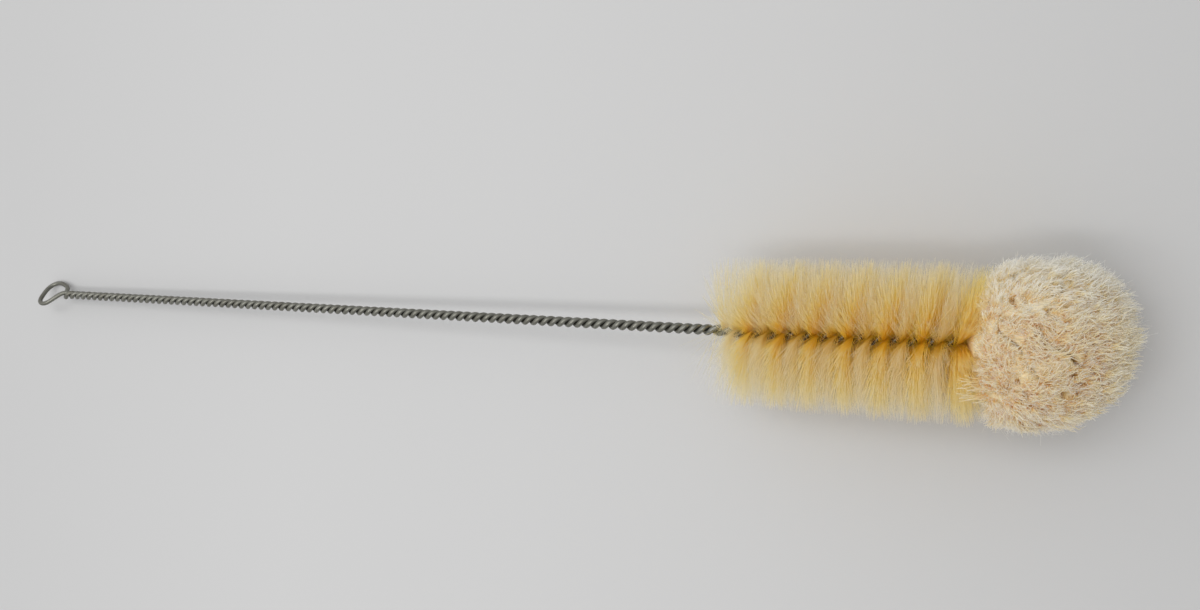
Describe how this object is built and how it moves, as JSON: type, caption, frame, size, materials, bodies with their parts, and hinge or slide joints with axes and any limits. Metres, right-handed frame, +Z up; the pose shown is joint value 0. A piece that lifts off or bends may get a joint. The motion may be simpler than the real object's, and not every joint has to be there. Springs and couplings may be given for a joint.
{
  "type": "bottle brush",
  "caption": "Twisted wire bottle brush with a hanging eye, a cylinder of hog bristles and a rounded mop of cotton yarn at the tip.",
  "frame": {"origin": "middle of the brush's bounding box, on the surface that it lies on", "axes": "+X along the brush from the eye to the cotton tuft, +Z up from the surface that it lies on"},
  "size_m": [0.3998, 0.045, 0.0437],
  "materials": {
    "wire": "dull drawn steel wire, grey with dark gaps between the strands",
    "bristle": "natural hog bristle, golden at the root and straw-coloured at the tip",
    "cotton": "unbleached cotton yarn, cream with fuzzy cut ends"
  },
  "bodies": {
    "root": {"twisted_wire": "wire", "bristles": "bristle", "cotton_tuft": "cotton"}
  },
  "joints": []
}
